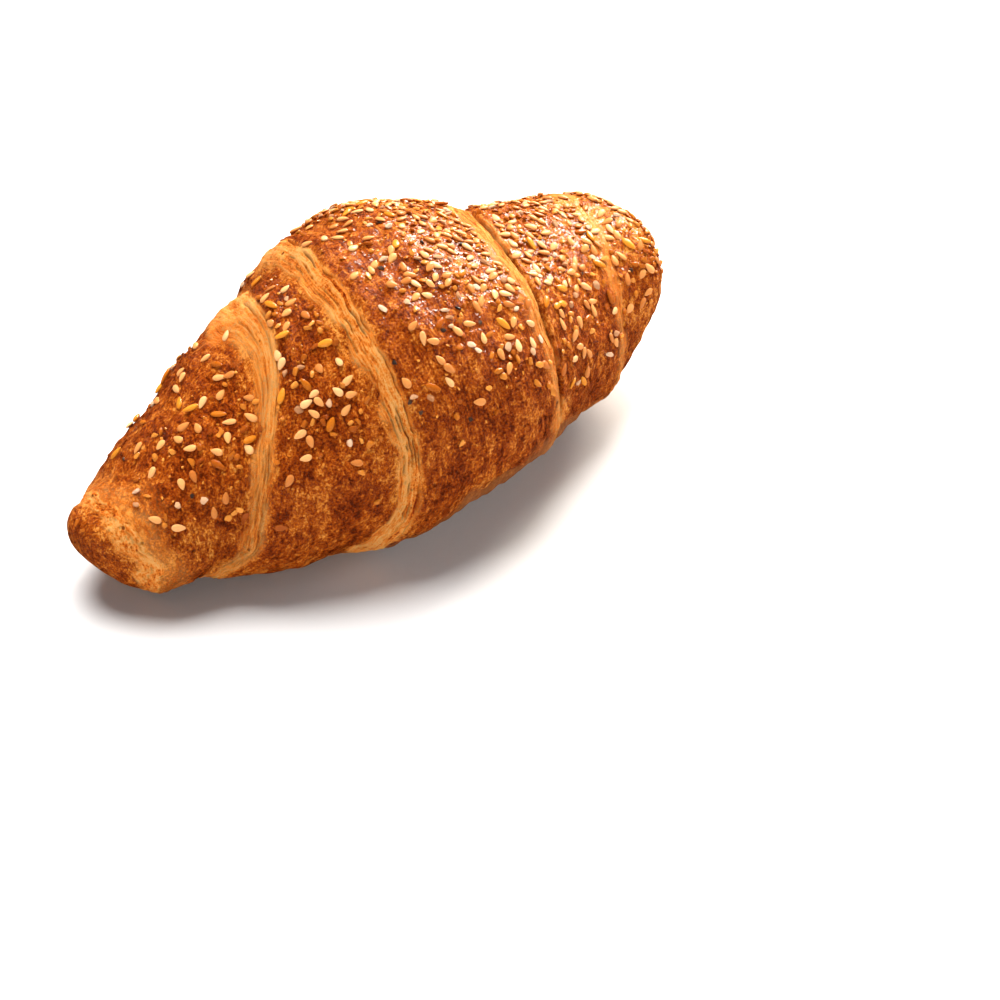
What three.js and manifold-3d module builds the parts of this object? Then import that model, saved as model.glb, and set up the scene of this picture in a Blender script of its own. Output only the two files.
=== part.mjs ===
// A whole croissant baked with a seed topping: one baked loaf, and the seeds and grain
// chips that are stuck to its crust.
//
// Millimetres, +Z up. +X runs along the croissant from its slim end to its blunt end, -Y is
// its front and the flattened underside rests on Z = 0.
import * as THREE from "three";
import { LoftGeometry } from "three/addons/geometries/LoftGeometry.js";
import { mergeVertices } from "three/addons/utils/BufferGeometryUtils.js";
import Module from "manifold-3d";

const wasm = await Module();
wasm.setup();

// ---- Driving dimensions ----

const LENGTH = 170; // tip to tip
const HALF_LENGTH = LENGTH / 2;
const HEIGHT_TO_WIDTH = 0.8; // of a cross-section
const WIDEST_AT = 0.44; // height of the widest point, as a share of the section's height
const CROWN_POWER = 2.15; // superellipse power above the widest point
const BELLY_POWER = 2.2; // and below it, where the loaf sagged on its tray
const END_POWER = 7; // how blunt the two ends are
const BASE_SINK = 1.6; // depth of the belly that the tray pressed flat

// Half the width of the loaf at equal steps along it, from the slim end to the blunt end.
const HALF_WIDTHS = [18.5, 23, 30.2, 37.6, 42.2, 41, 34.4, 30, 29];

// The arms sweep back from the middle, the slim end a little more than the blunt one.
const SWEEP = 4;
const SWEEP_SKEW = -5;
const BLUNT_END_LIFT = 12; // how far the blunt end curls up off the tray
const SLIM_END_LIFT = 5; // and the slim end

// ---- The rolled wraps ----

// The dough was rolled up, so the edge of each wrap runs round the loaf. `at` holds the edge's
// place along X at every 45 degrees: front, front top, top, back top, back, and on round the
// underside. `outer` is the side, along X, of the wrap that lies on top.
const WRAPS = [
  { name: "tip", outer: 1, band: 2.6, rise: 1.6, drop: 0.9, wall: 0,
    at: [-75.5, -78.2, -77.2, -74.5, -73, -72, -72.5, -74] },
  { name: "slim_shoulder", outer: 1, band: 7, rise: 2.6, drop: 1.2, wall: 0,
    at: [-56, -48.5, -30.5, -18, -10, -24, -43, -61] },
  { name: "slim_middle", outer: 1, band: 5.5, rise: 2.2, drop: 0.9, wall: 0,
    at: [-21.6, -19.6, -13, -3.5, 3, 0, -12, -25] },
  { name: "blunt_middle", outer: -1, band: 5.5, rise: 0.8, drop: 1.6, wall: 1,
    at: [22, 23.6, 32, 44, 47, 40, 31, 24] },
  { name: "blunt_shoulder", outer: -1, band: 3.5, rise: 0.9, drop: 0.7, wall: 0,
    at: [55.5, 60, 68, 73, 72, 66, 60, 56] },
];
const LIP_RADIUS = 1.5; // rounding of a wrap's lip
const LIP_REACH = 14; // how far a lip's rise runs back over its own wrap
const FOOT_REACH = 9; // how far the dip beside a band runs on
const WALL_RUN = 1; // run of the steep wall beside a band
const UNDERSIDE_SHARE = 0.35; // how much of a step is left on the flattened underside

// The uneven swelling of the dough: long low waves that run along and round the loaf.
const SWELLS = [
  { height: 0.7, run: 15, turns: 2, phase: 1 },
  { height: 0.5, run: 9, turns: -3, phase: 0 },
  { height: 0.3, run: 6, turns: 4, phase: 0 },
];

// Swellings and hollows of this one loaf: place along it, degrees round it, height, and how
// far each reaches along it and round it.
const BULGES = [
  { x: -79, around: -40, height: 1.4, reach: 8, turn: 40 },
  { x: -60, around: -37, height: -4.2, reach: 10, turn: 50 },
  { x: -30, around: -35, height: 2.4, reach: 12, turn: 45 },
  { x: -14, around: -33, height: 2.4, reach: 10, turn: 45 },
  { x: -72, around: 130, height: -4.5, reach: 8, turn: 50 },
  { x: -53, around: 140, height: -1.6, reach: 9, turn: 45 },
  { x: -40, around: 132, height: 0.8, reach: 7, turn: 45 },
  { x: -17, around: 156, height: -3.8, reach: 7, turn: 40 },
  { x: 2, around: 138, height: -2.4, reach: 7, turn: 45 },
  { x: 28, around: 105, height: -1.8, reach: 16, turn: 50 },
  { x: 64, around: 105, height: -2.6, reach: 11, turn: 55 },
  { x: 81, around: 35, height: 2.6, reach: 8, turn: 60 },
];

// ---- Mesh detail ----

const AROUND = 48;
const ROWS = [9, 8, 9, 11, 9, 9]; // rows from the slim end to the first edge, and so on
const END_CAP = 0.002; // share of the half length left to the small flat cap at each end

// ---- Topping ----

const CLEARANCE = 0.05; // between a seed and the crust
const SEED_SPACING = 7; // between the centres of two seeds
const SEED_ROUND = 8; // facets round a seed
const SEED_ALONG = 5; // and along it
const SEEDED_SHARE = 0.9; // of the half length: the very ends stay bare
const SEEDED_BELOW = 18; // degrees below the sides that a seed may stick
const BARE_MARGIN = 3; // between a seed's centre and a pale band
const THIN_TOPPING = 0.35; // topping on the slim end, as a share of that on the blunt end
const CORE_HEIGHT = 0.4; // of the loaf's height: where the seeds are aimed at
const TOPPING = [
  { name: "grain_chip", count: 8, size: [2.4, 1.9, 1.3], taper: 0, colour: 0xe6cfb4, roughness: 0.6 },
  { name: "sesame_seed", count: 40, size: [3.2, 2, 1.1], taper: 0.4, colour: 0xf0cf95, roughness: 0.5 },
  { name: "linseed", count: 10, size: [4, 2.1, 1.1], taper: 0.3, colour: 0xb9691f, roughness: 0.3 },
];
const CREST = { x: 7, around: 92 }; // the loaf's highest place, where the first grain chip lies

const DEGREES = Math.PI / 180;
const EDGE_KNOT = 45 * DEGREES; // between two of a wrap edge's values

// Catmull-Rom through evenly spaced values. `place` counts knots from the first one, and a
// closed row of values runs on from its last knot to its first.
function through(values, place, closed = false) {
  const last = values.length - 1;
  const { clamp, euclideanModulo } = THREE.MathUtils;
  const at = (i) => values[closed ? euclideanModulo(i, last + 1) : clamp(i, 0, last)];
  const knot = Math.floor(place);
  const t = place - knot;
  const [a, b, c, d] = [at(knot - 1), at(knot), at(knot + 1), at(knot + 2)];
  return b + 0.5 * t * (c - a + t * (2 * a - 5 * b + 4 * c - d + t * (3 * (b - c) + d - a)));
}

const edgeAt = (wrap, angle) => through(wrap.at, angle / EDGE_KNOT, true);

// Height of a wrap's step over the smooth loaf, `past` millimetres beyond its lip.
function step(wrap, past) {
  const { band, rise, drop, wall } = wrap;
  const lip = 0.5 * rise;
  if (past <= 0) return rise * Math.exp(past / LIP_REACH) - lip * Math.exp(past / LIP_RADIUS);
  if (past <= band) return lip - (lip + drop) * THREE.MathUtils.smoothstep(past, 0, band);
  const foot = Math.exp((band - past) / FOOT_REACH);
  return (wall * THREE.MathUtils.smoothstep(past - band, 0, WALL_RUN) - drop) * foot;
}

function swelling(x, angle) {
  const waves = SWELLS.map((swell) =>
    swell.height * Math.sin(x / swell.run + swell.turns * angle + swell.phase));
  return waves.reduce((sum, wave) => sum + wave, 0);
}

function bulging(x, angle) {
  const parts = BULGES.map((bulge) => {
    const turned = THREE.MathUtils.euclideanModulo(angle / DEGREES - bulge.around + 180, 360) - 180;
    return bulge.height * Math.exp(-(((x - bulge.x) / bulge.reach) ** 2) - (turned / bulge.turn) ** 2);
  });
  return parts.reduce((sum, part) => sum + part, 0);
}

// A point of the crust before the tray flattens the underside, at x along the loaf and at an
// angle round it: 0 is the front, a quarter turn the top, half a turn the back.
function crust(x, angle) {
  const share = x / HALF_LENGTH;
  const halfWidth = through(HALF_WIDTHS, (share + 1) * (HALF_WIDTHS.length - 1) / 2);
  const end = Math.sqrt(1 - Math.abs(share) ** END_POWER);
  const height = 2 * halfWidth * HEIGHT_TO_WIDTH;
  const lift = share > 0 ? BLUNT_END_LIFT * share ** 3 : SLIM_END_LIFT * share ** 10;

  const up = Math.sin(angle);
  const front = Math.cos(angle);
  const upperHalf = up >= 0;
  const power = 2 / (upperHalf ? CROWN_POWER : BELLY_POWER);
  const half = (upperHalf ? 1 - WIDEST_AT : WIDEST_AT) * height;
  const outward = Math.sign(front) * Math.abs(front) ** power;
  const upward = Math.sign(up) * Math.abs(up) ** power;

  const shown = up < 0 ? 1 + (1 - UNDERSIDE_SHARE) * up : 1;
  const steps = WRAPS.reduce((sum, wrap) => sum + step(wrap, (edgeAt(wrap, angle) - x) * wrap.outer), 0);
  const relief = (steps * shown + swelling(x, angle) + bulging(x, angle)) * end;

  return new THREE.Vector3(
    x,
    SWEEP * share ** 2 + SWEEP_SKEW * share ** 3 - outward * (halfWidth * end + relief),
    lift + WIDEST_AT * height - BASE_SINK + upward * (half * end + relief),
  );
}

// The rings of the loft follow the wraps: each has its place between two neighbouring edges,
// closer together near the edges, so that every lip is a crisp line. The loft wants each ring
// counterclockwise as seen from its far end, so the rings are walked backwards.
function rings() {
  const start = -HALF_LENGTH * (1 - END_CAP);
  const edges = [() => start, ...WRAPS.map((wrap) => (angle) => edgeAt(wrap, angle)), () => -start];
  const places = ROWS.flatMap((rows, k) =>
    Array.from({ length: rows }, (_, i) => [k, 0.5 - 0.5 * Math.cos((Math.PI * i) / rows)]));
  places.push([ROWS.length - 1, 1]);
  return places.map(([k, share]) =>
    Array.from({ length: AROUND }, (_, j) => {
      const angle = (-2 * Math.PI * j) / AROUND;
      return crust(THREE.MathUtils.lerp(edges[k](angle), edges[k + 1](angle), share), angle);
    }));
}

// ---- three.js geometry to manifold-3d solid and back ----

function solidOf(geometry, matrix = new THREE.Matrix4()) {
  const plain = new THREE.BufferGeometry();
  plain.setAttribute("position", geometry.getAttribute("position").clone());
  plain.setIndex(geometry.index);
  const merged = mergeVertices(plain.applyMatrix4(matrix), 1e-4);
  return new wasm.Manifold(new wasm.Mesh({
    numProp: 3,
    vertProperties: merged.attributes.position.array,
    triVerts: new Uint32Array(merged.index.array),
  }));
}

function geometryOf(solid) {
  const mesh = solid.getMesh();
  const geometry = new THREE.BufferGeometry();
  geometry.setAttribute("position", new THREE.BufferAttribute(mesh.vertProperties, 3));
  geometry.setIndex(new THREE.BufferAttribute(mesh.triVerts, 1));
  geometry.computeVertexNormals();
  return geometry;
}

// ---- The baked loaf ----

function bakedLoaf() {
  const loaf = solidOf(new LoftGeometry(rings(), { capStart: true, capEnd: true }));
  const tray = new THREE.BoxGeometry(2 * LENGTH, LENGTH, LENGTH).translate(0, 0, -LENGTH / 2);
  return loaf.subtract(solidOf(tray));
}

// ---- Seeds ----

// Repeatable random numbers from 0 to 1.
function randomNumbers(seed) {
  let state = seed;
  return () => {
    state = (state + 0x6d2b79f5) | 0;
    let mixed = Math.imul(state ^ (state >>> 15), 1 | state);
    mixed = (mixed + Math.imul(mixed ^ (mixed >>> 7), 61 | mixed)) ^ mixed;
    return ((mixed ^ (mixed >>> 14)) >>> 0) / 4294967296;
  };
}

// A flattened drop, its slim end towards +X.
function seedGeometry([length, width, thickness], taper) {
  const geometry = new THREE.SphereGeometry(0.5, SEED_ROUND, SEED_ALONG).rotateZ(-90 * DEGREES);
  const points = geometry.getAttribute("position");
  for (let i = 0; i < points.count; i++) {
    const slimming = 1 - taper * (points.getX(i) + 0.5);
    points.setXYZ(i, points.getX(i) * length, points.getY(i) * width * slimming,
      points.getZ(i) * thickness * slimming);
  }
  return geometry;
}

// How likely a seed is at a place on the crust: the topping was sprinkled from above, it lies
// thickest towards the blunt end, and the bands that opened in the oven are bare.
function toppingAt(x, angle) {
  const { smoothstep, lerp } = THREE.MathUtils;
  const inBand = WRAPS.some((wrap) => {
    const past = (edgeAt(wrap, angle) - x) * wrap.outer;
    return past > -BARE_MARGIN && past < wrap.band + BARE_MARGIN;
  });
  const fromAbove = smoothstep(Math.sin(angle), -0.1, 0.9);
  const alongIt = lerp(THIN_TOPPING, 1, smoothstep(x, -0.6 * HALF_LENGTH, 0.3 * HALF_LENGTH));
  return inBand ? 0 : fromAbove * alongIt;
}

// Lays a seed flat on the crust under a place, turned by `spin`. Returns whether it is clear
// of the crust all over.
function layOnCrust(seed, loaf, loafSolid, x, angle, spin) {
  const core = new THREE.Vector3(x, 0, CORE_HEIGHT * crust(x, 90 * DEGREES).z);
  const outward = crust(x, angle).sub(core).normalize();
  const start = core.addScaledVector(outward, LENGTH);
  const [hit] = new THREE.Raycaster(start, outward.negate()).intersectObject(loaf);
  const up = hit.face.normal;
  const along = new THREE.Vector3(1, 0, 0).cross(up).normalize().applyAxisAngle(up, spin);
  const across = up.clone().cross(along);
  seed.quaternion.setFromRotationMatrix(new THREE.Matrix4().makeBasis(along, across, up));
  seed.geometry.computeBoundingBox();
  seed.position.copy(hit.point).addScaledVector(up, CLEARANCE - seed.geometry.boundingBox.min.z);
  seed.updateMatrixWorld();
  return solidOf(seed.geometry, seed.matrixWorld).intersect(loafSolid).isEmpty();
}

function scatteredSeeds(loaf, loafSolid) {
  const random = randomNumbers(7);
  const laid = [];
  for (const kind of TOPPING) {
    const material = new THREE.MeshStandardMaterial({ color: kind.colour, roughness: kind.roughness });
    let number = 1;
    while (number <= kind.count) {
      const first = laid.length === 0;
      const x = first ? CREST.x : THREE.MathUtils.lerp(-1, 1, random()) * SEEDED_SHARE * HALF_LENGTH;
      const turn = THREE.MathUtils.lerp(-SEEDED_BELOW, 180 + SEEDED_BELOW, random());
      const around = first ? CREST.around : turn;
      const angle = around * DEGREES;
      if (!first && random() > toppingAt(x, angle)) continue;
      const seed = new THREE.Mesh(seedGeometry(kind.size, kind.taper), material);
      if (!layOnCrust(seed, loaf, loafSolid, x, angle, 2 * Math.PI * random())) continue;
      if (laid.some((other) => other.position.distanceTo(seed.position) < SEED_SPACING)) continue;
      seed.name = `${kind.name}_${String(number).padStart(2, "0")}`;
      laid.push(seed);
      number += 1;
    }
  }
  return laid;
}

// ---- The croissant ----

const loafSolid = bakedLoaf();
const loaf = new THREE.Mesh(
  geometryOf(loafSolid),
  new THREE.MeshStandardMaterial({ color: 0xb5652b, roughness: 0.45 }),
);
loaf.name = "baked_croissant";

const croissant = new THREE.Group();
croissant.add(loaf, ...scatteredSeeds(loaf, loafSolid));

// The origin is under the middle of the loaf's own box.
const middle = new THREE.Box3().setFromObject(croissant).getCenter(new THREE.Vector3());
croissant.position.set(-middle.x, -middle.y, 0);

export default croissant;
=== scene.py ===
"""A seeded croissant: its glazed, layered crust and the topping that is baked on to it.

The loaf is worked out in millimetres, from the same driving dimensions as its CAD solid, and
is then fitted to that solid's box. X runs along it from the slim end to the blunt end, the
angle round it is 0 at the front, a quarter turn at the top and half a turn at the back.
"""
import itertools
import math

import bpy
import numpy as np
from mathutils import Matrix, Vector


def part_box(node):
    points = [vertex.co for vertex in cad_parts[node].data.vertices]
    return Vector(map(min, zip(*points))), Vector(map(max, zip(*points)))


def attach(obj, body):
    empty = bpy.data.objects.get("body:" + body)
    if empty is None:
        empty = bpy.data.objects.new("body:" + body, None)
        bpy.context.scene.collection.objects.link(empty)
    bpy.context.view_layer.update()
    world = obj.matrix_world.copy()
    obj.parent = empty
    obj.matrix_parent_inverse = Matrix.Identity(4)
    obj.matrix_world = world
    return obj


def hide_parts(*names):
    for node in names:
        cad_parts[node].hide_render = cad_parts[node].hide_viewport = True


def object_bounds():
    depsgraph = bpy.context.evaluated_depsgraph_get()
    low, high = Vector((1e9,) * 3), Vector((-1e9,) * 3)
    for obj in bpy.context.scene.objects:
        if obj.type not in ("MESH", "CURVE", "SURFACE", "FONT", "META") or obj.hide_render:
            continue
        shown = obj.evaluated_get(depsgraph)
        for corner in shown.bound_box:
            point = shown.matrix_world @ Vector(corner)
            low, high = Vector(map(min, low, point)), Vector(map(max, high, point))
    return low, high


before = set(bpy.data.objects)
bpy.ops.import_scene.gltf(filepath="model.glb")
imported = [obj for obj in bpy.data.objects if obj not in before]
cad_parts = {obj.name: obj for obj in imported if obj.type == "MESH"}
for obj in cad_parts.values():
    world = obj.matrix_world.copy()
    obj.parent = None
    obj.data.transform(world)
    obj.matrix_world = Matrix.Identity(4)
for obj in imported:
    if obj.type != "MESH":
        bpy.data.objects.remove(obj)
cad_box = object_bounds()

MM = 0.001

# ---- The loaf's shape, in millimetres ----

# This is the CAD solid's shape with more to it: edges that wander, bands and walls that vary
# round the loaf, a steeper wall, and lumps, cracks and strands.
HALF_LENGTH = 85.0
HEIGHT_TO_WIDTH = 0.8
WIDEST_AT = 0.44
CROWN_POWER = 2.15
BELLY_POWER = 2.2
END_POWER = 7
BASE_SINK = 1.6
HALF_WIDTHS = [18.5, 23, 30.2, 37.6, 42.2, 41, 34.4, 30, 29]
SWEEP = 4
SWEEP_SKEW = -5
BLUNT_END_LIFT = 12
SLIM_END_LIFT = 5
# How softly the loaf is pressed flat on the floor.
FLOOR_SOFTNESS = 0.4

# The edge of each wrap of dough, every 45 degrees from the front over the top. `outer` is the
# side of the wrap that lies on top, `band` the width of the pale layers that opened beside
# the edge, and `pale` how bare of glaze they are, which `fade` lowers towards the band's far
# side. `bare` is how bare the wrap is beside its own edge, and how far in. `wall` is the height
# of a step beyond the band, where a gap is open too.
WRAPS = [
    dict(outer=1, rise=1.6, drop=0.9, pale=1.0, fade=0.0, bare=(0.3, 8), layers=2, cracks=0.5,
         at=[-75.5, -78.2, -77.2, -74.5, -73, -72, -72.5, -74],
         band=[3.6, 3.6, 3.4, 3.2, 3, 3, 3, 3.2],
         wall=[0, 0, 0, 0, 0, 0, 0, 0]),
    dict(outer=1, rise=2.6, drop=1.2, pale=0.76, fade=0.3, bare=(0.2, 0.8), layers=5, cracks=0.6,
         at=[-56, -48.5, -30.5, -18, -10, -24, -43, -61],
         band=[2.6, 3.2, 7.5, 18, 20, 12, 6, 3.4],
         wall=[0, 0, 0, 0, 0, 0, 0, 0]),
    dict(outer=1, rise=2.2, drop=0.9, pale=1.0, fade=0.15, bare=(0.2, 0.8), layers=5, cracks=1,
         at=[-21.6, -19.6, -13, -3.5, 3, 0, -12, -25],
         band=[3.8, 4.8, 5.4, 6.4, 6, 7, 10, 9],
         wall=[0, 0, 0, 0, 0, 0, 0, 0]),
    dict(outer=-1, rise=0.8, drop=1.6, pale=1.0, fade=-0.3, bare=(0.5, 4), layers=4, cracks=0.5,
         at=[22, 23.6, 32, 44, 47, 40, 31, 24],
         band=[3.5, 5, 6, 6.5, 7, 8, 7, 5],
         wall=[1, 1, 0.9, 0.1, 0.3, 0.8, 1, 1]),
    dict(outer=-1, rise=0.9, drop=0.7, pale=0.5, fade=0.0, bare=(0.3, 3), layers=2, cracks=0.2,
         at=[55.5, 60, 68, 73, 72, 66, 60, 56],
         band=[3.5, 3.5, 3.5, 3.5, 3.5, 3.5, 3.5, 3.5],
         wall=[0, 0, 0, 0, 0, 0, 0, 0]),
]

# Fine cracks along each band: the share of the band's width, the depth, the half width, and how
# long they are, as a share of the loaf's half width.
CRACKS = [(0.03, 0.7, 0.2, 0.1), (0.17, 0.9, 0.22, 0.35), (0.34, 0.8, 0.2, 0.3),
          (0.5, 0.5, 0.16, 0.08), (0.72, 0.4, 0.15, 0.08)]
# The gap at the foot of a wall.
GAP_DEPTH = 1.4
GAP_HALF_WIDTH = 0.45
# The section of a step: how round its lip is, how far back the wrap starts to rise to it, how far
# on the next wrap is still low, and how long the wall is.
LIP_RADIUS = 1.5
LIP_REACH = 14
FOOT_REACH = 9
WALL_RUN = 0.8
# The share of a step's height that is left at the bottom of the loaf.
UNDERSIDE_SHARE = 0.35
# How far an edge strays from its smooth line, in long waves and in short ones.
EDGE_WANDER = 0.9
EDGE_TREMBLE = 0.35
# Fibres run round the loaf, as on a ring of this radius. The ring is squashed by this share
# before noise is looked up on it, which draws the noise out along the fibres.
FIBRE_RADIUS = 40
FIBRE_SQUASH = 0.12

# Swells of the whole surface: height, length along x, turns round, and phase.
SWELLS = [(0.7, 15, 2, 1), (0.5, 9, -3, 0), (0.3, 6, 4, 0)]

# Swellings and hollows of this one loaf: height, x, degrees round, and reach along and round.
BULGES = [
    (1.4, -79, -40, 8, 40), (-4.2, -60, -37, 10, 50), (2.4, -30, -35, 12, 45),
    (2.4, -14, -33, 10, 45), (-4.5, -72, 130, 8, 50), (-1.6, -53, 140, 9, 45),
    (0.8, -40, 132, 7, 45), (-3.8, -17, 156, 7, 40), (-2.4, 2, 138, 7, 45),
    (-1.8, 28, 105, 16, 50), (-2.6, 64, 105, 11, 55), (2.6, 81, 35, 8, 60),
]

# Where the glazed side ends above the underside, in degrees, every eighth of the length.
UNDERSIDE_FROM = [-35, -40, -42, -34, -16, -12, -22, -34, -45]
# How far along the underside starts to fade into the ends, and where it has gone.
UNDERSIDE_FADE = (60, 78)

# The crust's mesh: columns round it, and rows between its guide lines, by crowns and by bands
# from the slim end on. The first and the last row stop a little short of the loaf's ends.
AROUND = 266
CROWN_ROWS = [24, 46, 40, 58, 42, 40]
BAND_ROWS = [12, 34, 30, 34, 12]
END_CAP = 1e-5


# ---- Numbers ----

def smoothstep(value, low, high):
    t = np.clip((value - low) / (high - low), 0, 1)
    return t * t * (3 - 2 * t)


def through(values, place, closed=False):
    """Catmull-Rom through evenly spaced values; place counts knots from the first."""
    values = np.asarray(values, float)
    knot = np.floor(place).astype(int)
    t = place - knot

    def at(i):
        return values[i % len(values) if closed else np.clip(i, 0, len(values) - 1)]

    a, b, c, d = at(knot - 1), at(knot), at(knot + 1), at(knot + 2)
    return b + 0.5 * t * (c - a + t * (2 * a - 5 * b + 4 * c - d + t * (3 * (b - c) + d - a)))


def around(values, angle):
    """Values given every 45 degrees, taken at any angle."""
    return through(values, angle / math.radians(45), closed=True)


def noise(points, size, seed, octaves=1):
    """Smooth noise of about -1 to 1 at 3-D points, with lumps of the given size."""
    total = np.zeros(points.shape[:-1])
    weight = 1.0
    for octave in range(octaves):
        p = points / size * 2 ** octave + 17.3 * seed + 5.1 * octave
        cell = np.floor(p).astype(np.int64)
        t = p - cell
        t = t * t * t * (t * (6 * t - 15) + 10)
        for corner in itertools.product((0, 1), repeat=3):
            n = cell + corner
            # Each lattice corner is hashed to a height of -1 to 1.
            mixed = (n[..., 0] * 73856093) ^ (n[..., 1] * 19349663) ^ (n[..., 2] * 83492791)
            mixed = (mixed ^ (mixed >> 13)) * 1274126177 & 0x7FFFFFFF
            mixed = (mixed ^ (mixed >> 16)) * 40503 & 0xFFFFFF
            share = np.prod(np.where(corner, t, 1 - t), axis=-1)
            total += weight * share * (mixed / 0x7FFFFF - 1)
        weight *= 0.5
    return total


# ---- The crust's shape ----

def ring_at(angle, height):
    """Points of a unit ring at a height, to look noise up by the angle alone."""
    return np.stack([np.cos(angle), np.sin(angle), np.full_like(angle, height)], -1)


def wobbled_edge(wrap, angle, number):
    """X of a wrap's edge, which strays a little from its smooth line."""
    ring = ring_at(angle, 3.7 * number)
    smooth = around(wrap["at"], angle)
    return smooth + EDGE_WANDER * noise(ring, 0.35, 3) + EDGE_TREMBLE * noise(ring, 0.09, 4)


def guide_lines(angle):
    """X of every line the rows follow: both ends, and each band's two sides."""
    lines = [np.full_like(angle, -HALF_LENGTH * (1 - END_CAP))]
    for number, wrap in enumerate(WRAPS):
        lip = wobbled_edge(wrap, angle, number)
        far = lip - wrap["outer"] * around(wrap["band"], angle)
        lines += [far, lip] if wrap["outer"] > 0 else [lip, far]
    return lines + [np.full_like(angle, HALF_LENGTH * (1 - END_CAP))]


def row_shares(number, count, last):
    """How far across a crown or a band each of its rows lies: closer where the shape turns."""
    row = np.arange(count)
    is_band = number % 2 == 1
    if is_band:
        return row / count
    if number == 0:
        return 1 - np.cos(0.5 * math.pi * row / count)
    if number == last:
        return np.sin(0.5 * math.pi * row / count)
    return 0.75 * (0.5 - 0.5 * np.cos(math.pi * (row / count))) + 0.25 * (row / count)


def grid():
    """X of every vertex, rows by columns, and the angle of every column."""
    angle = np.arange(AROUND) * 2 * math.pi / AROUND
    lines = guide_lines(angle)
    counts = [n for pair in itertools.zip_longest(CROWN_ROWS, BAND_ROWS) for n in pair if n]
    rows = []
    for number, count in enumerate(counts):
        near, far = lines[number], lines[number + 1]
        rows += [near + s * (far - near) for s in row_shares(number, count, len(counts) - 1)]
    rows.append(lines[-1])
    return np.array(rows), np.broadcast_to(angle, (len(rows), AROUND))


def bulging(x, angle):
    """Height of the bulges and hollows together."""
    total = np.zeros_like(x)
    for height, at_x, degrees, reach, turn in BULGES:
        off = (angle - math.radians(degrees) + math.pi) % (2 * math.pi) - math.pi
        total += height * np.exp(-((x - at_x) / reach) ** 2 - (off / math.radians(turn)) ** 2)
    return total


def base_point(x, angle, relief):
    """The smooth loaf, with relief in millimetres added to its section."""
    share = x / HALF_LENGTH
    half_width = through(HALF_WIDTHS, (share + 1) * (len(HALF_WIDTHS) - 1) / 2)
    end = np.sqrt(1 - np.abs(share) ** END_POWER)
    height = 2 * half_width * HEIGHT_TO_WIDTH
    lift = BLUNT_END_LIFT * np.maximum(share, 0) ** 3
    lift = lift + SLIM_END_LIFT * np.minimum(share, 0) ** 10
    up, front = np.sin(angle), np.cos(angle)
    power = 2 / np.where(up >= 0, CROWN_POWER, BELLY_POWER)
    half = np.where(up >= 0, 1 - WIDEST_AT, WIDEST_AT) * height
    outward = np.sign(front) * np.abs(front) ** power
    upward = np.sign(up) * np.abs(up) ** power
    relief = relief * end
    y = SWEEP * share ** 2 + SWEEP_SKEW * share ** 3 - outward * (half_width * end + relief)
    z = lift + WIDEST_AT * height - BASE_SINK + upward * (half * end + relief)
    return np.stack([x, y, z], -1)


def terraces(t, layers):
    """A ramp from 0 to 1 broken into the edges of so many layers of dough."""
    scaled = t * layers
    whole = np.floor(scaled)
    return (whole + smoothstep(scaled - whole, 0.35, 1.0)) / layers


def step_section(wrap, past, band, ragged, wall_height):
    """Height of the step at an edge: the raised wrap, its terraced side, the wall and the foot."""
    lip = 0.5 * wrap["rise"]
    on_top = wrap["rise"] * np.exp(past / LIP_REACH) - lip * np.exp(past / LIP_RADIUS)
    smooth_slope = smoothstep(past / band, 0, 1)
    slope = 0.4 * smooth_slope + 0.6 * terraces(ragged, wrap["layers"])
    side = lip - (lip + wrap["drop"]) * slope
    wall = wall_height * smoothstep(past - band, 0, WALL_RUN)
    foot = (wall - wrap["drop"]) * np.exp((band - np.maximum(past, band)) / FOOT_REACH)
    return np.where(past <= 0, on_top, np.where(past <= band, side, foot))


def bareness(wrap, past, band, fray):
    """How bare a wrap leaves each place, and how much it dulls the glaze, both from 0 to 1."""
    in_band = smoothstep(past, -0.5, 0.3) * (1 - smoothstep(past / fray, 0.8 * band, band + 0.8))
    across = np.clip(past / band, 0, 1)
    toned = wrap["pale"] * (1 - wrap["fade"] * smoothstep(across * fray, 0.3, 0.8)) * in_band
    bare, reach = wrap["bare"]
    beside = bare * fray * (past < 0.3) * (1 - smoothstep(-past / fray, 0, reach))
    halo = smoothstep(past, -1.5, 0) * (1 - smoothstep(past, band, band + 4.5))
    dulled = 0.45 * wrap["pale"] * halo * (1 - in_band)
    return np.maximum(toned, np.clip(beside, 0, 1)), dulled


def openings(wrap, number, angle, past, band, wall_height):
    """The depth of each crack and gap beside an edge, and how open it is, from 0 to 1."""
    found = []
    for share, depth, half_width, length in CRACKS:
        ring = ring_at(angle, 9.1 * (number + share))
        crack = np.exp(-((past - share * band) / half_width) ** 2)
        crack = crack * smoothstep(noise(ring, length, 30, 2), 0.0, 0.35) * wrap["cracks"]
        found.append((depth, crack))
    gap = np.exp(-((past - band) / GAP_HALF_WIDTH) ** 2) * np.clip(wall_height, 0, 1)
    gap = gap * smoothstep(noise(ring_at(angle, 9.1 * number), 0.2, 31, 2), -0.5, 0.1)
    found.append((GAP_DEPTH, gap))
    return found


def underside(x, angle, smooth):
    """How much each place belongs to the matt underside, from 0 to 1."""
    dip = np.degrees((angle + math.pi) % (2 * math.pi) - math.pi)
    dip = np.where(dip < -90, -180 - dip, dip) + 6 * noise(smooth, 7, 60, 4)
    edge = through(UNDERSIDE_FROM, (x / HALF_LENGTH + 1) * 4)
    return (1 - smoothstep(dip, edge - 7, edge + 5)) * (1 - smoothstep(np.abs(x), *UNDERSIDE_FADE))


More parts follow.
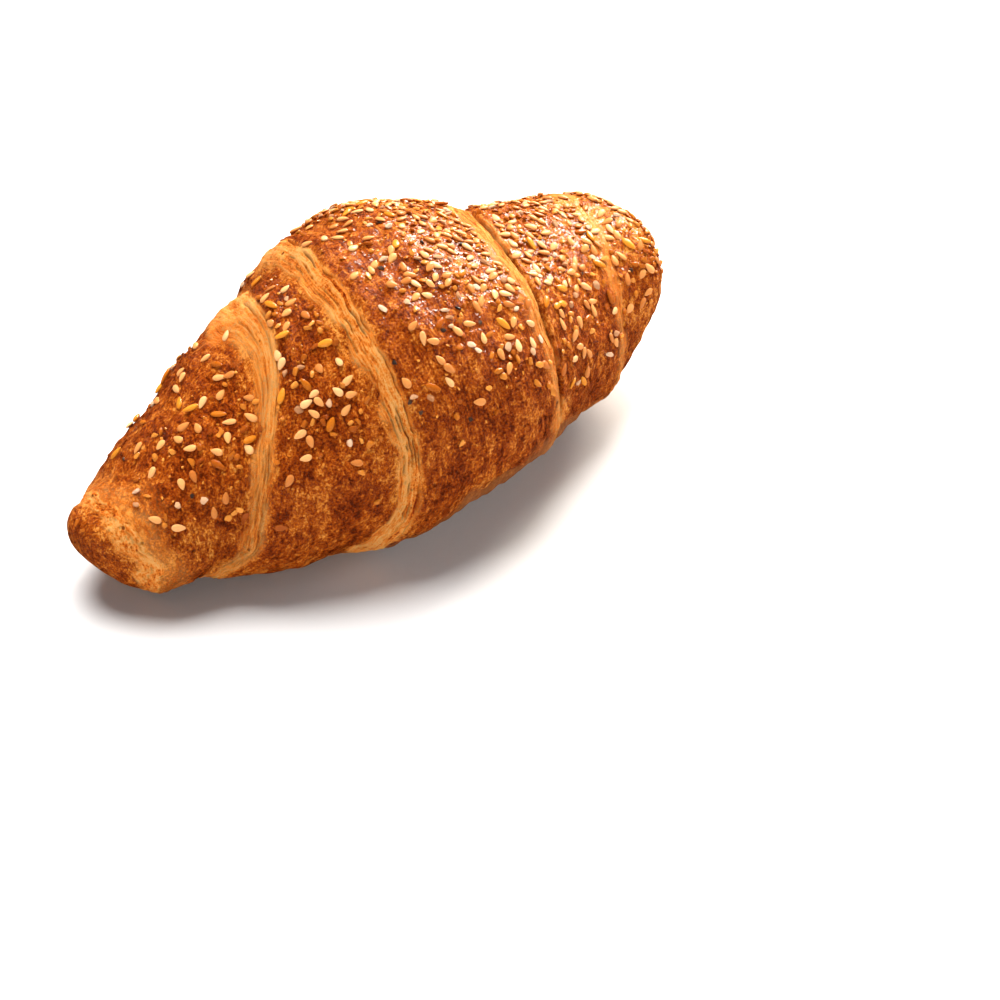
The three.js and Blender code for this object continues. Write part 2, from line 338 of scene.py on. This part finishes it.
def crust():
    """The crust's points in millimetres, and the fields that its looks and topping follow."""
    x, angle = grid()
    smooth = base_point(x, angle, np.zeros_like(x))
    ring = FIBRE_RADIUS * np.stack([np.cos(angle), np.sin(angle)], -1)
    row_x = np.broadcast_to(x.mean(1, keepdims=True), x.shape)
    fibre = np.concatenate([row_x[..., None], ring], -1)
    streak = fibre * (1, FIBRE_SQUASH, FIBRE_SQUASH)

    relief = sum(h * np.sin(x / run + turns * angle + phase) for h, run, turns, phase in SWELLS)
    relief = relief + bulging(x, angle)
    relief = relief + 0.7 * noise(smooth, 11, 1, 2) + 0.32 * noise(smooth, 2.8, 2, 3)
    glazed = np.ones_like(x)
    layered = np.zeros_like(x)
    crack = np.zeros_like(x)
    shown = np.where(np.sin(angle) < 0, 1 + (1 - UNDERSIDE_SHARE) * np.sin(angle), 1)
    for number, wrap in enumerate(WRAPS):
        past = (wobbled_edge(wrap, angle, number) - x) * wrap["outer"]
        band = around(wrap["band"], angle)
        wall_height = around(wrap["wall"], angle)
        across = np.clip(past / band, 0, 1)
        inside = (across > 0) * (across < 1)
        ragged = np.clip(across + 0.04 * noise(streak, 1.6, 20 + number) * inside, 0, 1)
        relief = relief + step_section(wrap, past, band, ragged, wall_height) * shown

        fray = 1 + 0.35 * noise(smooth, 5, 50 + number, 2)
        bare, dulled = bareness(wrap, past, band, fray)
        layered = np.maximum(layered, bare)
        glazed = glazed - dulled * glazed
        for depth, opened in openings(wrap, number, angle, past, band, wall_height):
            relief = relief - depth * opened
            crack = np.maximum(crack, opened)
    strands = noise(streak, 0.75, 5)
    relief = relief + layered * 0.2 * strands
    relief = relief + (1 - layered) * 0.09 * noise(streak, 0.9, 6)
    under = underside(x, angle, smooth)
    relief = relief - 0.5 * under + 0.3 * under * noise(streak, 1.3, 61, 2)

    points = base_point(x, angle, relief)
    z = points[..., 2]
    points[..., 2] = 0.5 * (z + np.sqrt(z * z + FLOOR_SOFTNESS))
    glazed = glazed * (1 - layered)
    return points, dict(x=x, angle=angle, fibre=fibre, glazed=glazed, layered=layered,
                        crack=crack, under=under, strands=strands)


def fitted(points, box):
    """Points in metres that fill a box."""
    low, high = (np.array(corner) for corner in box)
    flat = points.reshape(-1, 3)
    share = (flat - flat.min(0)) / np.ptp(flat, axis=0)
    return low + share * (high - low)


def mesh_object(name, points, faces, material, smooth=True):
    """A mesh; faces is a list of arrays, one for each number of sides."""
    corners = np.concatenate([f.ravel() for f in faces])
    sides = np.concatenate([np.full(len(f), f.shape[1]) for f in faces])
    mesh = bpy.data.meshes.new(name)
    mesh.vertices.add(len(points))
    mesh.vertices.foreach_set("co", points.astype(np.float32).ravel())
    mesh.loops.add(len(corners))
    mesh.loops.foreach_set("vertex_index", corners.astype(np.int32))
    mesh.polygons.add(len(sides))
    mesh.polygons.foreach_set("loop_start", (np.cumsum(sides) - sides).astype(np.int32))
    mesh.polygons.foreach_set("use_smooth", np.full(len(sides), smooth))
    mesh.update(calc_edges=True)
    mesh.materials.append(material)
    thing = bpy.data.objects.new(name, mesh)
    bpy.context.collection.objects.link(thing)
    return thing


def tube_faces(rows, columns):
    """Quads of a closed tube, and the triangles of its two ends, whose tips come last."""
    corner = np.arange(rows * columns).reshape(rows, columns)
    near, far = corner[:-1], corner[1:]
    quads = np.stack([near, far, np.roll(far, -1, 1), np.roll(near, -1, 1)], -1).reshape(-1, 4)
    first, last = corner[0], corner[-1]
    tip = rows * columns
    start = np.stack([np.full(columns, tip), first, np.roll(first, -1)], -1)
    end = np.stack([np.full(columns, tip + 1), np.roll(last, -1), last], -1)
    return [quads, np.concatenate([start, end])]


def set_attribute(thing, name, values):
    kind = "FLOAT_VECTOR" if values.ndim == 2 else "FLOAT"
    field = "vector" if values.ndim == 2 else "value"
    layer = thing.data.attributes.new(name, kind, "POINT")
    layer.data.foreach_set(field, values.astype(np.float32).ravel())


# ---- Materials ----

class Shader:
    """A material whose nodes are added one line at a time."""

    def __init__(self, name):
        self.material = bpy.data.materials.new(name)
        self.material.use_nodes = True
        self.tree = self.material.node_tree
        self.surface = self.tree.nodes["Principled BSDF"]

    def add(self, kind, inputs=(), output=0, **settings):
        node = self.tree.nodes.new(kind)
        for key, value in settings.items():
            setattr(node, key, value)
        self.join(node, inputs)
        return node.outputs[output]

    def join(self, node, inputs):
        for key, value in dict(inputs).items():
            if isinstance(value, bpy.types.NodeSocket):
                self.tree.links.new(value, node.inputs[key])
            else:
                node.inputs[key].default_value = value

    def attribute(self, name, output="Fac"):
        return self.add("ShaderNodeAttribute", attribute_name=name, output=output)

    def math(self, operation, a, b=0.0, c=0.0, clamp=False):
        return self.add("ShaderNodeMath", {0: a, 1: b, 2: c}, operation=operation, use_clamp=clamp)

    def noise(self, where, size_mm, detail=2.0, roughness=0.5, distortion=0.0):
        """Noise of 0 to 1 with lumps of a size in millimetres."""
        return self.add("ShaderNodeTexNoise", {
            "Vector": where, "Scale": 1 / (size_mm * MM), "Detail": detail,
            "Roughness": roughness, "Distortion": distortion})

    def stretched(self, where, scale):
        return self.add("ShaderNodeVectorMath", {0: where, 1: scale}, operation="MULTIPLY")

    def ramp(self, value, stops):
        output = self.add("ShaderNodeValToRGB", {"Fac": value})
        elements = output.node.color_ramp.elements
        while len(elements) < len(stops):
            elements.new(0.5)
        for element, (place, colour) in zip(elements, stops):
            element.position = place
            element.color = (*colour, 1)
        return output

    def mix(self, share, a, b):
        """A colour between two others; 6, 7 and 2 are the node's colour sockets."""
        output = self.add("ShaderNodeMix", data_type="RGBA", output=2)
        self.join(output.node, {0: share, 6: a, 7: b})
        return output

    def vary(self, value, *textures):
        """A value with textures of 0 to 1 added, each about its middle and by its own share."""
        for texture, share in textures:
            value = self.math("MULTIPLY_ADD", self.math("SUBTRACT", texture, 0.5), share, value)
        return value

    def span(self, value, low, high, to_low=0.0, to_high=1.0):
        """A value from low to high, taken smoothly to another span."""
        return self.add("ShaderNodeMapRange", {
            0: value, 1: low, 2: high, 3: to_low, 4: to_high}, interpolation_type="SMOOTHSTEP")

    def bump(self, height, depth_mm, under=None):
        inputs = {"Height": height, "Distance": depth_mm * MM, "Strength": 1.0}
        if under is not None:
            inputs["Normal"] = under
        return self.add("ShaderNodeBump", inputs)


# Colours by how well a place is baked, which also holds painted light that makes the crest and the
# blunt end paler, and by how deep it lies among the bare layers, darker deeper down as painted
# shade.
BROWN = [(0.00, (0.92, 0.37, 0.07)), (0.22, (0.68, 0.175, 0.016)), (0.45, (0.46, 0.084, 0.0055)),
         (0.68, (0.27, 0.036, 0.0025)), (1.0, (0.085, 0.010, 0.001))]
PALE = [(0.0, (0.20, 0.016, 0.001)), (0.24, (0.62, 0.096, 0.005)), (0.48, (0.90, 0.215, 0.021)),
        (0.70, (0.98, 0.33, 0.052)), (1.0, (1.0, 0.47, 0.13))]
CRACK_SHADE_AND_PIT_DARK = (0.10, 0.012, 0.001, 1)
GLAZE_STAIN_AND_CONTACT_SHADE = (0.30, 0.06, 0.006, 1)
DRY_DARK = (0.24, 0.078, 0.022, 1)
DRY_LIGHT = (0.46, 0.19, 0.06, 1)
FLOOR_DARK = (0.60, 0.585, 0.575, 1)
FLOOR_LIGHT = (0.63, 0.615, 0.605, 1)


def crust_material():
    """Brown glazed crust, pale fibrous layers in the bands, and a dry underside."""
    s = Shader("glazed_crust")
    place = s.add("ShaderNodeTexCoord", output="Object")
    fibre = s.attribute("fibre", "Vector")
    glazed, layered, crack = (s.attribute(name) for name in ("glazed", "layered", "crack"))
    under = s.attribute("under")
    along = s.stretched(fibre, (1, 0.16, 0.16))
    far_along = s.stretched(fibre, (1, 0.06, 0.06))

    patches = s.noise(place, 8, 3, 0.55, 0.5)
    mottle = s.noise(place, 2.2, 6, 0.66, 0.8)
    grain = s.noise(place, 0.6, 6, 0.75, 0.3)
    fibres = s.noise(along, 1.0, 6, 0.7, 0.3)

    bake_and_painted_light = s.math("MULTIPLY_ADD", glazed, 0.42, 0.12)
    # Painted light: this attribute makes the crest and the blunt end paler; it also browns the
    # crust where topping clumps.
    bake_and_painted_light = s.math("ADD", s.attribute("browning_and_painted_light"), bake_and_painted_light)
    bake_and_painted_light = s.vary(bake_and_painted_light, (patches, 0.8), (mottle, 1.3), (grain, 2.7), (fibres, 1.6))

    layer_lines = s.noise(far_along, 0.5, 6, 0.75, 0.1)
    layer_tint = s.noise(along, 5, 4, 0.65, 0.6)
    shade = s.vary(0.68, (layer_lines, 3.0), (layer_tint, 1.3), (grain, 2.4), (mottle, 1.3))
    # Painted shade: the same strands that shape the relief make the layers darker in their hollows
    # and lighter on their ridges.
    shade = s.math("MULTIPLY_ADD", s.attribute("strands"), 0.22, shade)
    colour = s.mix(layered, s.ramp(bake_and_painted_light, BROWN), s.ramp(shade, PALE))

    pits = s.add("ShaderNodeTexVoronoi", {
        "Vector": place, "Scale": 1 / (4.2 * MM), "Randomness": 1.0}, feature="F1")
    pit = s.math("MULTIPLY", s.span(pits, 0.14, 0.07), s.span(s.noise(place, 9), 0.52, 0.6))
    # Painted shade: cracks and gaps are darkened towards a near black brown; the pits are darker
    # too.
    dark = s.math("MAXIMUM", s.math("MULTIPLY", crack, 0.7), s.math("MULTIPLY", pit, 0.8))
    colour = s.mix(dark, colour, CRACK_SHADE_AND_PIT_DARK)
    dry = s.mix(s.noise(along, 1.2, 4), DRY_DARK, DRY_LIGHT)
    colour = s.mix(s.math("MULTIPLY", under, 0.65), colour, dry)

    bare = s.math("MAXIMUM", layered, under)
    rough = s.vary(s.math("MULTIPLY_ADD", bare, 0.25, 0.38), (mottle, 0.5))
    glaze = s.math("MULTIPLY", s.span(grain, 0.42, 0.56), s.span(mottle, 0.38, 0.55, 0.1, 1.0))
    coat = s.math("MULTIPLY", s.math("SUBTRACT", 1.0, bare, clamp=True), glaze)

    bumps = s.bump(fibres, 1.0)
    bumps = s.bump(mottle, 1.8, bumps)
    bumps = s.bump(grain, 0.8, bumps)
    bumps = s.bump(s.math("MULTIPLY", layer_lines, layered), 0.7, bumps)
    bumps = s.bump(pit, -0.5, bumps)
    glaze_bumps = s.bump(s.noise(place, 2.6, 1), 0.9)
    glaze_bumps = s.bump(s.noise(place, 0.8, 1), 0.22, glaze_bumps)
    s.join(s.surface, {"Base Color": colour, "Roughness": rough, "Normal": bumps,
                       "Coat Normal": glaze_bumps, "Coat Weight": coat, "Coat Roughness": 0.1,
                       "Specular IOR Level": 0.08})
    return s.material


def topping_material(name, stops, roughness, coat):
    """Seeds: each has its own tone, is mottled, and is darker at its foot, partly stained by the
    glaze and partly painted contact shade.
    """
    s = Shader(name)
    place = s.add("ShaderNodeTexCoord", output="Object")
    tone, foot = s.attribute("tone"), s.attribute("foot")
    mottle = s.noise(place, 0.5, 3)
    colour = s.ramp(s.vary(tone, (mottle, 0.25)), stops)
    # Darker at the foot: partly glaze stain, partly painted contact shade where the seed meets the
    # crust.
    colour = s.mix(s.math("MULTIPLY", foot, 0.7), colour, GLAZE_STAIN_AND_CONTACT_SHADE)
    rough = s.vary(roughness, (mottle, 0.3))
    bumps = s.bump(s.noise(place, 0.35, 3), 0.08)
    s.join(s.surface, {"Base Color": colour, "Roughness": rough, "Normal": bumps,
                       "Coat Weight": coat, "Coat Roughness": 0.2, "Specular IOR Level": 0.15})
    return s.material


def floor_material():
    s = Shader("studio_floor")
    grain = s.noise(s.add("ShaderNodeTexCoord", output="Object"), 40, 2)
    s.join(s.surface, {"Base Color": s.mix(grain, FLOOR_DARK, FLOOR_LIGHT), "Roughness": 0.7})
    return s.material


# ---- Topping shapes: each function returns a ball's points, reshaped, 1 = 1 millimetre ----

BALL_ROWS = 7
BALL_COLUMNS = 12
CHIP_CUTS = 11


def ball():
    """Points of a unit ball, its poles on X: the rows, then the two poles."""
    rise = (np.arange(BALL_ROWS) + 0.8) / (BALL_ROWS + 0.6) * math.pi
    turn = np.arange(BALL_COLUMNS) * 2 * math.pi / BALL_COLUMNS
    rise, turn = np.meshgrid(rise, turn, indexing="ij")
    rows = np.stack([-np.cos(rise), -np.sin(rise) * np.cos(turn), np.sin(rise) * np.sin(turn)], -1)
    return np.concatenate([rows.reshape(-1, 3), [(-1, 0, 0), (1, 0, 0)]])


def drop(rng, length, width, thick, taper):
    """A flattened teardrop with a faint rim, its slim end towards +X."""
    p = ball()
    slim = 1 - taper * (0.5 + 0.5 * p[:, 0]) ** 1.5
    bend = rng.uniform(-0.08, 0.08)
    y = p[:, 1] * slim + bend * p[:, 0] ** 2
    z = np.sign(p[:, 2]) * np.abs(p[:, 2]) ** 0.85 * slim * (1 - 0.18 * p[:, 1] ** 4)
    size = np.array([length, width, thick]) * rng.uniform(0.88, 1.12, 3) / 2
    return np.stack([p[:, 0], y, z], -1) * size


def chip(rng, length, width, thick):
    """A broken grain: a ball cut by flat faces."""
    p = ball()
    planes = rng.normal(size=(CHIP_CUTS, 3))
    planes /= np.linalg.norm(planes, axis=1, keepdims=True)
    reach = rng.uniform(0.55, 0.95, CHIP_CUTS)
    facing = np.maximum(p @ planes.T, 1e-3)
    p = p * np.minimum(reach / facing, 1.15).min(1, keepdims=True)
    return p * np.array([length, width, thick]) * rng.uniform(0.75, 1.25, 3) / 2


def flake(rng, length, width, thick):
    """A thin curled shaving with an uneven outline."""
    p = ball()
    turn = np.arctan2(p[:, 1], p[:, 0])
    lobes = 0.18 * np.sin(3 * turn + rng.uniform(0, 6))
    outline = 1 + lobes + 0.12 * np.sin(5 * turn + rng.uniform(0, 6))
    x, y = p[:, 0] * outline, p[:, 1] * outline
    curl = rng.uniform(0.1, 0.4) * (y - x) ** 2
    size = rng.uniform(0.75, 1.25) / 2
    z = p[:, 2] * thick / 2 + curl * width * 0.5
    return np.stack([x * length * size, y * width * size, z], -1)


# ---- Where the topping lies ----

# How much topping there is from the slim end to the blunt end, every eighth of the length.
ALONG_DENSITY = [0.1, 0.38, 0.45, 0.45, 0.6, 1.0, 1.35, 1.15, 0.4]
# The room that a place must have above it inside the CAD solids' box, in millimetres.
SEED_ROOM = 1.3
# The crust's direction at a vertex is taken over so many rows and columns on either side.
NORMAL_SPAN = 3
TRIES_PER_SEED = 6


def clumps(points):
    """Where the topping fell in clumps, from 0 to 1."""
    return smoothstep(noise(points, 9, 40, 2), -0.5, 0.7)


def crest(fields):
    """The top of the blunt half, from 0 to 1."""
    return smoothstep(fields["x"], -8, 22) * smoothstep(np.sin(fields["angle"]), 0.45, 0.95)


def topping_density(fields, points):
    """Most topping is high up, on the front and the blunt half, where the glaze holds it."""
    x, angle = fields["x"], fields["angle"]
    high = smoothstep(np.sin(angle), -0.1, 1.0)
    sown = np.maximum(smoothstep(np.cos(angle), -0.35, 0.15), smoothstep(x, -12, 20))
    high = high * (0.2 + 0.8 * sown)
    sticky = smoothstep(fields["glazed"], 0.5, 0.8) * (1 - fields["under"])
    spread = through(ALONG_DENSITY, (x / HALF_LENGTH + 1) * 4) * high + 0.9 * crest(fields)
    return spread * (0.25 + clumps(points)) * sticky


class Site:
    """Places on the crust, with the direction straight out of it."""

    def __init__(self, points, density):
        round_it = np.roll(points, -NORMAL_SPAN, 1) - np.roll(points, NORMAL_SPAN, 1)
        rows = np.arange(len(points))
        after = np.minimum(rows + NORMAL_SPAN, len(points) - 1)
        before = np.maximum(rows - NORMAL_SPAN, 0)
        out = np.cross(points[after] - points[before], round_it)
        area = np.linalg.norm(out, axis=-1)
        out = out / np.maximum(area, 1e-12)[..., None]
        reach = points + out * SEED_ROOM * MM
        low, high = (np.array(corner) for corner in cad_box)
        inside = ((reach > low) & (reach < high)).all(-1)
        self.out = out.reshape(-1, 3)
        self.points = points.reshape(-1, 3)
        weight = (density * area * inside).ravel()
        self.chance = weight / weight.sum()
        self.taken = []

    def nearest(self, point):
        """Index of the place nearest to a point."""
        return int(np.argmin(((self.points - point) ** 2).sum(1)))

    def clear(self, point, gap):
        """Whether a point keeps its gap from every place that is taken."""
        if not self.taken:
            return True
        taken = np.array(self.taken)
        return (np.linalg.norm(taken[:, :3] - point, axis=1) > (taken[:, 3] + gap * MM) / 2).all()

    def take(self, index, gap):
        self.taken.append((*self.points[index], gap * MM))

    def scatter(self, rng, count, gap):
        """Up to count places, each at least its gap from the ones taken before."""
        found = []
        tries = rng.choice(len(self.points), size=count * TRIES_PER_SEED, p=self.chance)
        for index in tries:
            if len(found) < count and self.clear(self.points[index], gap):
                self.take(index, gap)
                found.append(int(index))
        return found


def seat(shape, point, out, direction, sink, tilt, rng):
    """Lays a shape on the crust at a point, sunk by a share of its thickness."""
    lean = Vector(out) + tilt * Vector(rng.normal(size=3))
    lean.normalize()
    along = Vector(direction) - lean * lean.dot(Vector(direction))
    along.normalize()
    axes = np.array([along, lean.cross(along), lean])
    height = -shape[:, 2].min() - sink * np.ptp(shape[:, 2])
    return point + (shape + (0, 0, height)) * MM @ axes


def random_direction(rng, out):
    """A direction along the crust, at random."""
    return np.cross(out, rng.normal(size=3))


def topping_piece(kind, places, site, rng):
    """One object with a seed at every place: (site index, direction or None)."""
    faces = tube_faces(BALL_ROWS, BALL_COLUMNS)
    points, tones, feet = [], [], []
    for index, direction in places:
        out = site.out[index]
        shape = kind["shape"](rng)
        along = random_direction(rng, out) if direction is None else direction
        points.append(seat(shape, site.points[index], out, along, kind["sink"], kind["tilt"], rng))
        height = (shape[:, 2] - shape[:, 2].min()) / np.ptp(shape[:, 2])
        tones.append(np.full(len(shape), rng.uniform()))
        feet.append(1 - smoothstep(height, kind["sink"], kind["sink"] + 0.3))
    step = len(points[0])
    all_faces = [np.concatenate([f + i * step for i in range(len(points))]) for f in faces]
    thing = mesh_object(kind["name"], np.concatenate(points), all_faces, kind["material"],
                        kind.get("smooth", False))
    set_attribute(thing, "tone", np.concatenate(tones))
    set_attribute(thing, "foot", np.concatenate(feet))
    return thing


def cad_seeds(prefix):
    """The names of a kind's CAD seeds, and the centre and long direction of each."""
    names = sorted(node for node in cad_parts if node.startswith(prefix))
    found = []
    for node in names:
        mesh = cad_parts[node].data
        co = np.empty(len(mesh.vertices) * 3)
        mesh.vertices.foreach_get("co", co)
        co = co.reshape(-1, 3)
        centre = co.mean(0)
        found.append((centre, np.linalg.svd(co - centre, full_matrices=False)[2][0]))
    return names, found


# ---- The pieces ----

def make_loaf():
    """The crust, fitted to its CAD solid's box; its rows of points and fields are handed on."""
    points, fields = crust()
    placed = fitted(points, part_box("baked_croissant"))
    rows, columns = points.shape[:2]
    ring = placed.reshape(rows, columns, 3)
    tips = [ring[0].mean(0), ring[-1].mean(0)]
    loaf = mesh_object("crust", np.concatenate([placed, tips]), tube_faces(rows, columns),
                       crust_material())
    # Browner where the topping fell in clumps, and paler at the slim tip; the paler crest and
    # blunt end are painted light, a painted highlight over the crest and painted light at the
    # blunt end.
    by_tip = 1 - smoothstep(fields["x"], -72, -60)
    by_blunt_end = smoothstep(fields["x"], 48, 72)
    fields["browning_and_painted_light"] = (0.12 * clumps(points) - 0.09 * crest(fields) - 0.05 * by_tip
                         - 0.14 * by_blunt_end)
    for name in ("glazed", "layered", "crack", "under", "browning_and_painted_light", "strands"):
        values = fields[name]
        set_attribute(loaf, name, np.concatenate([values.ravel(), values[[0, -1], 0]]))
    fibre = fields["fibre"].reshape(-1, 3) * MM
    set_attribute(loaf, "fibre", np.concatenate([fibre, fibre[:1], fibre[-1:]]))
    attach(loaf, "root")
    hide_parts("baked_croissant")
    return ring, fields


# The tones of each kind of topping, the darkest and most browned first.
SESAME = [(0.0, (0.41, 0.115, 0.020)), (0.35, (0.57, 0.21, 0.052)), (0.8, (0.67, 0.29, 0.092)),
          (1.0, (0.71, 0.38, 0.16))]
LINSEED = [(0.0, (0.29, 0.06, 0.005)), (0.4, (0.47, 0.13, 0.008)), (1.0, (0.66, 0.25, 0.024))]
GRAIN = [(0.0, (0.34, 0.14, 0.055)), (0.4, (0.50, 0.26, 0.13)), (1.0, (0.62, 0.42, 0.27))]
TOFFEE = [(0.0, (0.24, 0.042, 0.004)), (0.5, (0.43, 0.12, 0.011)), (1.0, (0.66, 0.25, 0.042))]
CHARRED = [(0.0, (0.012, 0.008, 0.007)), (1.0, (0.07, 0.035, 0.022))]


def make_topping(ring, fields):
    """Seeds at the CAD seeds' places first, then as many more as each kind needs."""
    rng = np.random.default_rng(11)
    site = Site(ring, topping_density(fields, ring / MM))
    kinds = [
        dict(name="sesame_seeds", nodes="sesame_seed", slot="sesame", count=380, gap=2.2, sink=0.2,
             tilt=0.12, smooth=True, shape=lambda r: drop(r, 3.1, 2.05, 1.1, 0.5),
             material=topping_material("sesame_seed", SESAME, 0.42, 0.25)),
        dict(name="linseeds", nodes="linseed", slot="linseed", count=60, gap=2.4, sink=0.2,
             tilt=0.15, smooth=True, shape=lambda r: drop(r, 3.9, 2.0, 1.2, 0.35),
             material=topping_material("toasted_linseed", LINSEED, 0.3, 0.5)),
        dict(name="grain_chips", nodes="grain_chip", slot="grain", count=85, gap=1.7, sink=0.2,
             tilt=0.3, shape=lambda r: chip(r, 2.2, 1.5, 1.0),
             material=topping_material("pale_grain", GRAIN, 0.65, 0.0)),
        dict(name="toffee_grains", nodes=None, slot="linseed", count=380, gap=1.4, sink=0.25,
             tilt=0.3, shape=lambda r: chip(r, 2.0, 1.4, 1.0),
             material=topping_material("glazed_grain", TOFFEE, 0.32, 0.5)),
        dict(name="black_seeds", nodes=None, slot="linseed", count=28, gap=1.2, sink=0.3,
             tilt=0.3, shape=lambda r: chip(r, 1.5, 1.1, 0.8),
             material=topping_material("black_seed", CHARRED, 0.35, 0.3)),
        dict(name="crust_flakes", nodes=None, slot="crust", count=34, gap=2.4, sink=0.3,
             tilt=0.25, smooth=True, shape=lambda r: flake(r, 2.8, 1.8, 0.25),
             material=topping_material("crust_flake", TOFFEE, 0.38, 0.3)),
        dict(name="crumbs", nodes=None, slot="crust", count=420, gap=0.7, sink=0.3,
             tilt=0.4, shape=lambda r: chip(r, 0.9, 0.7, 0.5),
             material=topping_material("glazed_crumb", TOFFEE, 0.25, 0.6)),
    ]
    for kind in kinds:
        kind["names"], found = cad_seeds(kind["nodes"]) if kind["nodes"] else ([], [])
        kind["places"] = [(site.nearest(centre), along) for centre, along in found]
        for index, _ in kind["places"]:
            site.take(index, kind["gap"])
    for kind in kinds:
        more = site.scatter(rng, kind["count"] - len(kind["places"]), kind["gap"])
        places = kind["places"] + [(index, None) for index in more]
        piece = topping_piece(kind, places, site, rng)
        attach(piece, "root")
        if kind["names"]:
            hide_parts(*kind["names"])


# ---- Studio ----

def look_at(thing, place, target):
    thing.location = place
    thing.rotation_mode = "QUATERNION"
    thing.rotation_quaternion = (Vector(target) - Vector(place)).to_track_quat("-Z", "Y")


def direction(azimuth, elevation):
    """From the loaf towards a place: azimuth 0 is in front of it, 90 at its blunt end."""
    a, e = math.radians(azimuth), math.radians(elevation)
    return Vector((math.sin(a) * math.cos(e), -math.cos(a) * math.cos(e), math.sin(e)))


# The lamps aim at a place so many metres above the floor.
LAMP_AIM_HEIGHT = 0.03


def area_light(name, azimuth, elevation, distance, size, power, shines=False):
    """A round soft light; only one that shines is seen in reflections, and it is warmer."""
    light = bpy.data.lights.new(name, "AREA")
    light.color = (1, 0.93, 0.82) if shines else (1, 1, 1)
    light.shape = "DISK"
    light.size = size
    light.energy = power
    lamp = bpy.data.objects.new(name, light)
    lamp.visible_glossy = shines
    bpy.context.collection.objects.link(lamp)
    target = Vector((0, 0, LAMP_AIM_HEIGHT))
    look_at(lamp, target + direction(azimuth, elevation) * distance, target)


def soft_sun(name, azimuth, elevation, spread, power):
    """A far light that is as strong everywhere, so the floor stays pale all round."""
    light = bpy.data.lights.new(name, "SUN")
    light.angle = math.radians(spread)
    light.energy = power
    lamp = bpy.data.objects.new(name, light)
    lamp.visible_glossy = False
    bpy.context.collection.objects.link(lamp)
    look_at(lamp, direction(azimuth, elevation), (0, 0, 0))


def make_studio():
    """A pale floor, soft lamps and a faint white world, of which only the key light shines."""
    bpy.ops.mesh.primitive_plane_add(size=16)
    floor = bpy.context.object
    floor.name = "studio_floor"
    floor.data.materials.append(floor_material())
    floor.visible_glossy = False
    area_light("key", azimuth=110, elevation=31, distance=0.9, size=0.5, power=18, shines=True)
    soft_sun("top", azimuth=150, elevation=66, spread=46, power=8)
    area_light("front_fill", azimuth=-50, elevation=3, distance=1.4, size=0.8, power=24)
    area_light("right_fill", azimuth=66, elevation=3, distance=1.3, size=0.8, power=19)
    world = bpy.data.worlds.new("studio")
    world.use_nodes = True
    background = world.node_tree.nodes["Background"]
    background.inputs["Color"].default_value = (1, 1, 1, 1)
    background.inputs["Strength"].default_value = 0.13
    bpy.context.scene.world = world
    world.cycles_visibility.glossy = False
    bpy.context.scene.view_settings.view_transform = "Standard"


# Degrees, metres, and millimetres of lens.
CAMERA_AZIMUTH = -41.22
CAMERA_ELEVATION = 34.24
CAMERA_DISTANCE = 0.8
CAMERA_LENS = 118.5
PIVOT_FORWARD = 0.001
PIVOT_HEIGHT = 0.0285
AIM_RIGHT = 0.0292
AIM_DOWN = 0.0311


def make_camera():
    """The camera aims to the right of the loaf and below it, so the loaf lies off centre."""
    camera = bpy.data.cameras.new("camera")
    camera.lens = CAMERA_LENS
    camera.sensor_width = 36
    camera.clip_start = 0.01
    thing = bpy.data.objects.new("camera", camera)
    bpy.context.collection.objects.link(thing)
    low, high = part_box("baked_croissant")
    middle = (low + high) / 2
    pivot = Vector((middle.x, middle.y - PIVOT_FORWARD, PIVOT_HEIGHT))
    back = direction(CAMERA_AZIMUTH, CAMERA_ELEVATION)
    turn = math.radians(CAMERA_AZIMUTH)
    right = Vector((math.cos(turn), math.sin(turn), 0))
    aim = pivot + right * AIM_RIGHT - back.cross(right) * AIM_DOWN
    look_at(thing, pivot + back * CAMERA_DISTANCE, aim)
    bpy.context.scene.camera = thing


make_camera()
make_studio()
make_topping(*make_loaf())
